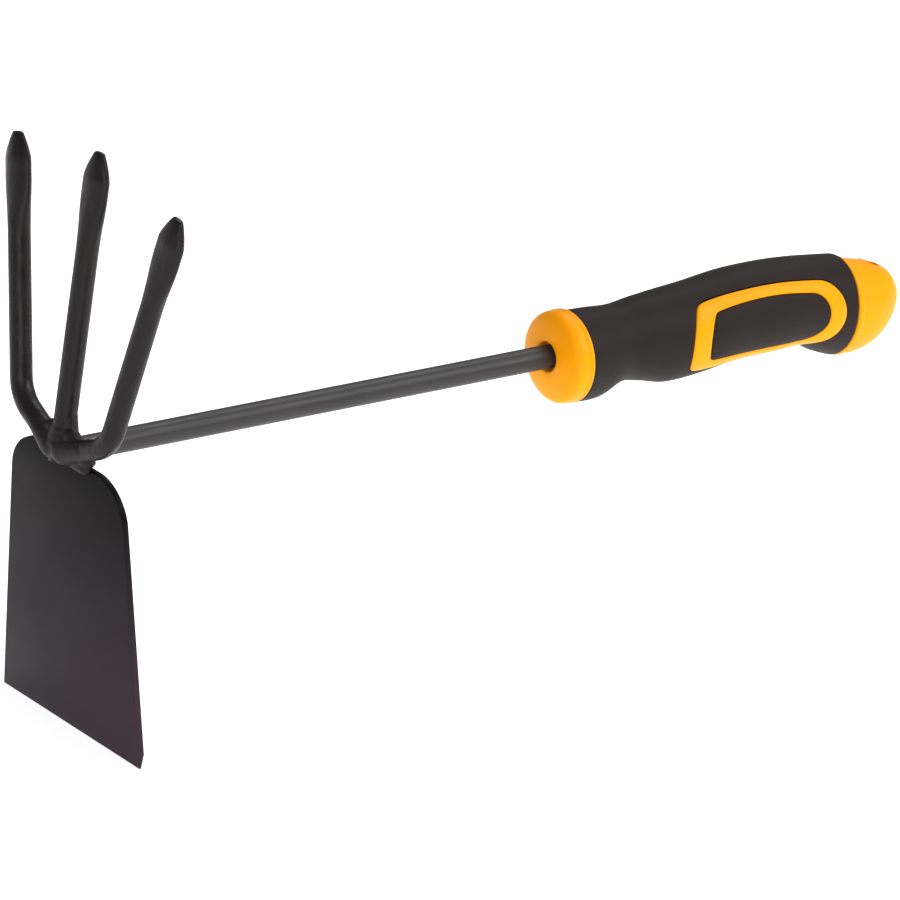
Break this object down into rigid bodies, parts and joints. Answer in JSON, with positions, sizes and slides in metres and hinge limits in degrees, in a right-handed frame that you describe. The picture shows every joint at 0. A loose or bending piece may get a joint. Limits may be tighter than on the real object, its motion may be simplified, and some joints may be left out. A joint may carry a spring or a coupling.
{
  "type": "hand hoe and cultivator",
  "caption": "Short hand hoe with a flat blade below and three cultivator tines above, on a round steel shank with a two-colour moulded grip.",
  "frame": {"origin": "on the shank's axis, where the axis of the hang hole in the end cap crosses it", "axes": "+X along the shank towards the butt of the handle, so the head is at -X; +Z the way the tines point, along the hang hole; the blade hangs down; -Y is the left of a user who holds the handle and looks at the head"},
  "size_m": [0.3948, 0.1096, 0.2229],
  "materials": {
    "coated_steel": "satin",
    "weld_coating": "satin",
    "orange_plastic": "satin",
    "black_grip": "matt"
  },
  "bodies": {
    "root": {"shank": "coated_steel", "hoe_blade": "coated_steel", "middle_tine": "coated_steel", "left_tine": "coated_steel", "right_tine": "coated_steel", "shank_weld": "weld_coating", "left_tine_weld": "weld_coating", "right_tine_weld": "weld_coating", "blade_weld": "weld_coating", "handle_core": "orange_plastic", "front_collar": "orange_plastic", "end_cap": "orange_plastic", "left_trim_ring": "orange_plastic", "right_trim_ring": "orange_plastic", "grip_sleeve": "black_grip", "left_side_pad": "black_grip", "right_side_pad": "black_grip"}
  },
  "joints": []
}
